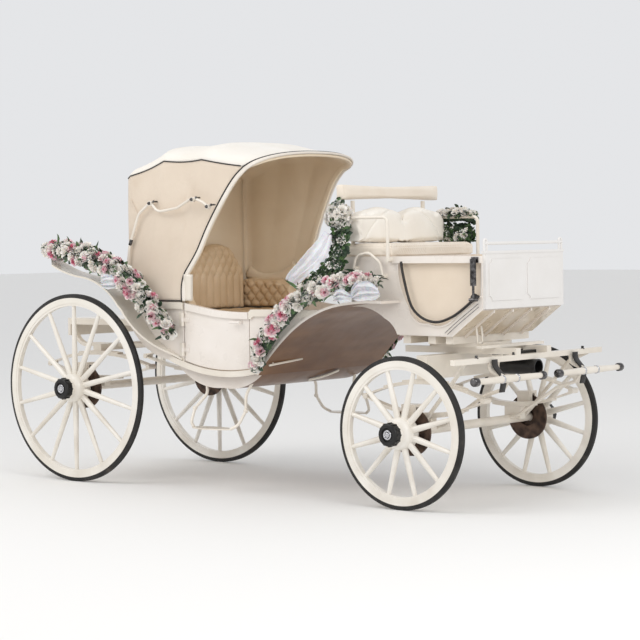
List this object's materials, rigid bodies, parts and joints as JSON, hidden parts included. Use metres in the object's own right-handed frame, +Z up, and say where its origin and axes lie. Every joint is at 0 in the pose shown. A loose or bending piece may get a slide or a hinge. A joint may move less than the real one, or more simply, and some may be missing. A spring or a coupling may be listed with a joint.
{
  "type": "horse drawn carriage",
  "caption": "Open four-wheeled carriage with a folding hood over a boat-shaped tub, a driver's box in front, elliptic springs and a steering turntable.",
  "frame": {"origin": "on the ground, under the middle of the whole carriage", "axes": "+X forward, the way the horses draw it; +Y to the carriage's left; +Z up"},
  "size_m": [3.6377, 1.558, 2.0319],
  "materials": {
    "body_paint": "gloss",
    "ivory_paint": "gloss",
    "wheel_paint": "satin",
    "tyre_rubber": "matt",
    "black_metal": "satin",
    "rusty_iron": "matt",
    "bright_metal": "polished",
    "cream_leather": "satin",
    "tan_leather": "satin",
    "hood_cloth": "matt",
    "flowers": "matt",
    "lining": "satin"
  },
  "bodies": {
    "root": {"rear_axle": "ivory_paint", "rear_springs": "ivory_paint", "front_sheet": "body_paint", "tub_shell": "body_paint", "tub_mouldings": "ivory_paint", "door_hinges": "ivory_paint", "rear_wings": "ivory_paint", "drivers_box": "body_paint", "footwell_linings": "lining", "dash": "body_paint", "brake_pump": "bright_metal", "grab_handles": "ivory_paint", "driver_cushion": "cream_leather", "driver_backs": "cream_leather", "back_bar": "cream_leather", "seat_rails": "ivory_paint", "bench": "lining", "bench_cushion": "tan_leather", "seat_back": "tan_leather", "side_pads": "tan_leather", "hood_canvas": "hood_cloth", "hood_bow": "ivory_paint", "hood_irons": "ivory_paint", "steps": "ivory_paint", "rear_irons": "ivory_paint", "rear_platform": "ivory_paint", "turntable_top": "ivory_paint", "rear_garlands": "flowers", "front_garlands": "flowers", "seat_garland_left": "flowers", "seat_garland_right": "flowers"},
    "left_door": {"door_left": "body_paint"},
    "right_door": {"door_right": "body_paint"},
    "forecarriage": {"turntable_bottom": "ivory_paint", "front_axle": "ivory_paint", "front_springs": "ivory_paint", "splinter_bar": "ivory_paint", "swingletrees": "ivory_paint", "pole_socket": "black_metal"},
    "rear_left_wheel": {"tyre_rear_left": "tyre_rubber", "wheel_rear_left": "wheel_paint", "hub_cap_rear_left": "black_metal", "brake_disc_rear_left": "rusty_iron"},
    "rear_right_wheel": {"tyre_rear_right": "tyre_rubber", "wheel_rear_right": "wheel_paint", "hub_cap_rear_right": "black_metal", "brake_disc_rear_right": "rusty_iron"},
    "front_left_wheel": {"tyre_front_left": "tyre_rubber", "wheel_front_left": "wheel_paint", "hub_cap_front_left": "black_metal", "brake_disc_front_left": "rusty_iron"},
    "front_right_wheel": {"tyre_front_right": "tyre_rubber", "wheel_front_right": "wheel_paint", "hub_cap_front_right": "black_metal", "brake_disc_front_right": "rusty_iron"}
  },
  "joints": [
    {"name": "steering", "type": "hinge", "parent": "root", "child": "forecarriage", "pos_m": [1.266, 0, 0.86], "axis": [0, 0, 1], "range_deg": [-45, 45]},
    {"name": "left_door_hinge", "type": "hinge", "parent": "root", "child": "left_door", "pos_m": [-0.429, 0.551, 0.9], "axis": [0, 0, 1], "range_deg": [0, 85]},
    {"name": "right_door_hinge", "type": "hinge", "parent": "root", "child": "right_door", "pos_m": [-0.429, -0.551, 0.9], "axis": [0, 0, -1], "range_deg": [0, 85]},
    {"name": "rear_left_wheel_spin", "type": "hinge", "parent": "root", "child": "rear_left_wheel", "pos_m": [-1.244, 0.653, 0.575], "axis": [0, 1, 0], "continuous": true},
    {"name": "rear_right_wheel_spin", "type": "hinge", "parent": "root", "child": "rear_right_wheel", "pos_m": [-1.244, -0.653, 0.575], "axis": [0, 1, 0], "continuous": true},
    {"name": "front_left_wheel_spin", "type": "hinge", "parent": "forecarriage", "child": "front_left_wheel", "pos_m": [1.266, 0.653, 0.416], "axis": [0, 1, 0], "continuous": true},
    {"name": "front_right_wheel_spin", "type": "hinge", "parent": "forecarriage", "child": "front_right_wheel", "pos_m": [1.266, -0.653, 0.416], "axis": [0, 1, 0], "continuous": true}
  ]
}
